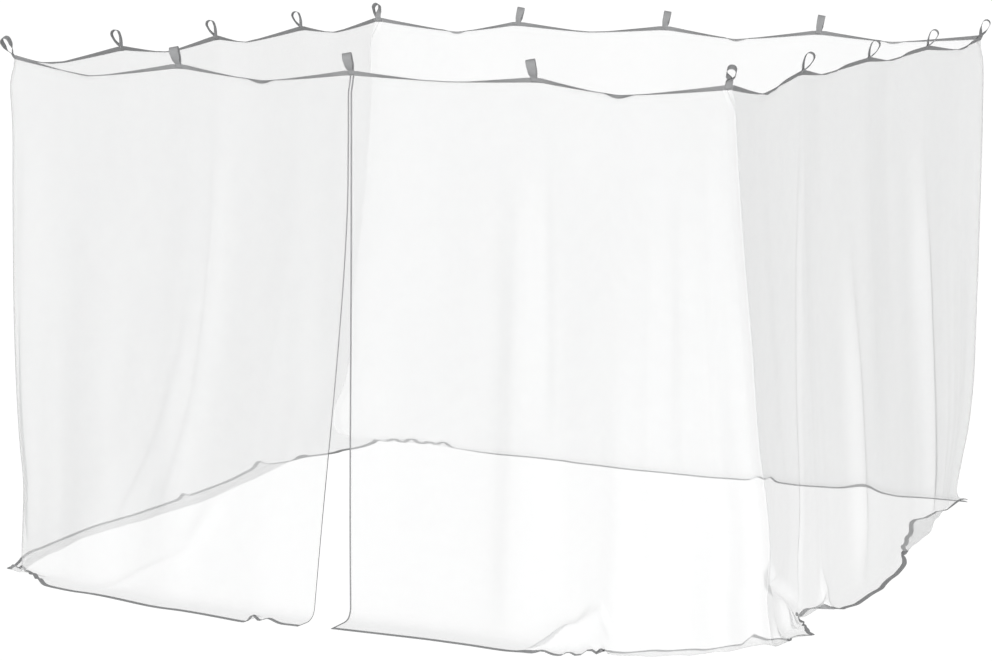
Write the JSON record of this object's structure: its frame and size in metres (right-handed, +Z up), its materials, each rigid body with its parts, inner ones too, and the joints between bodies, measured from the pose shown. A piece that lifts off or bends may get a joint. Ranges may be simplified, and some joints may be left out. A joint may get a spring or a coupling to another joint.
{
  "type": "outdoor mosquito net",
  "caption": "Square hanging net of sheer white mesh with open top, grey tape along heading, hem and door slit, and tape loops that hang it in a garden pavilion; its foot spreads on the floor",
  "frame": {"origin": "Middle of the square, level with the line that the loops hang on", "axes": "+Z up, -Y out of the front with the door slit, +X towards the right-hand wall seen from the front"},
  "size_m": [3.4152, 3.3124, 2.1484],
  "materials": {
    "net": "sheer knitted mesh, matt white",
    "tape": "woven tape, matt grey"
  },
  "bodies": {
    "root": {"net_front_left": "net", "net_front_right": "net", "net_right": "net", "net_back": "net", "net_left": "net", "hem_tape_front_left": "tape", "hem_tape_front_right": "tape", "hem_tape_right": "tape", "hem_tape_back": "tape", "hem_tape_left": "tape", "door_tape_front_left": "tape", "door_tape_front_right": "tape", "heading_front": "tape", "heading_right": "tape", "heading_back": "tape", "heading_left": "tape", "loop_corner_front_left": "tape", "loop_corner_front_right": "tape", "loop_corner_back_right": "tape", "loop_corner_back_left": "tape", "loop_front_1": "tape", "loop_front_2": "tape", "loop_front_3": "tape", "loop_right_1": "tape", "loop_right_2": "tape", "loop_right_3": "tape", "loop_back_1": "tape", "loop_back_2": "tape", "loop_back_3": "tape", "loop_left_1": "tape", "loop_left_2": "tape", "loop_left_3": "tape"}
  },
  "joints": []
}
